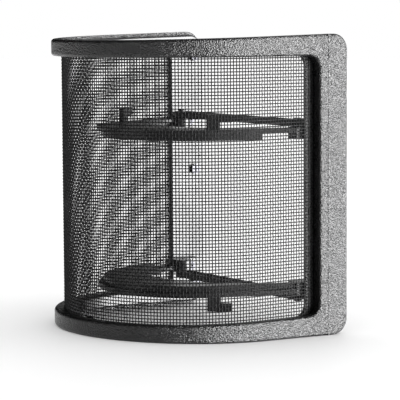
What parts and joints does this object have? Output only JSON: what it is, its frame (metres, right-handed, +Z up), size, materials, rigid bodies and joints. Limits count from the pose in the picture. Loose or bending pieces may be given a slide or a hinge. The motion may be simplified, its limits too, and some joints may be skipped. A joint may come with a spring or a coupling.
{
  "type": "pop filter",
  "caption": "U-shaped pop filter of woven wire in a moulded plastic frame, with crescent rests and elastic bands inside for a side-address microphone.",
  "frame": {"origin": "middle of the footprint, on the surface that the frame stands on", "axes": "+Z up from the flat bottom face; +X across the frame from leg to leg; +Y from the closed curve to the open side"},
  "size_m": [0.1018, 0.0908, 0.1113],
  "materials": {
    "frame_plastic": "black satin moulded plastic with a fine spark-eroded grain",
    "inner_plastic": "black satin moulded plastic, smoother than the outer frame",
    "bracket_plastic": "black moulded plastic, smooth",
    "screen_wire": "black coated fine wire in a plain square weave",
    "band_rubber": "black natural rubber, dull",
    "screw_steel": "black zinc-plated steel"
  },
  "bodies": {
    "frame": {"outer_frame": "frame_plastic", "inner_frame": "inner_plastic", "wire_screen": "screen_wire", "upper_bracket": "bracket_plastic", "lower_bracket": "bracket_plastic", "frame_screws": "screw_steel", "bracket_screws": "screw_steel"},
    "upper_elastic": {"upper_band": "band_rubber"},
    "lower_elastic": {"lower_band": "band_rubber"}
  },
  "joints": [
    {"name": "upper_band_lift", "type": "slide", "parent": "frame", "child": "upper_elastic", "axis": [0, -0.0214, 0.9998], "range_m": [0, 0.012]},
    {"name": "lower_band_drop", "type": "slide", "parent": "frame", "child": "lower_elastic", "axis": [0, 0.0214, -0.9998], "range_m": [0, 0.01]}
  ]
}
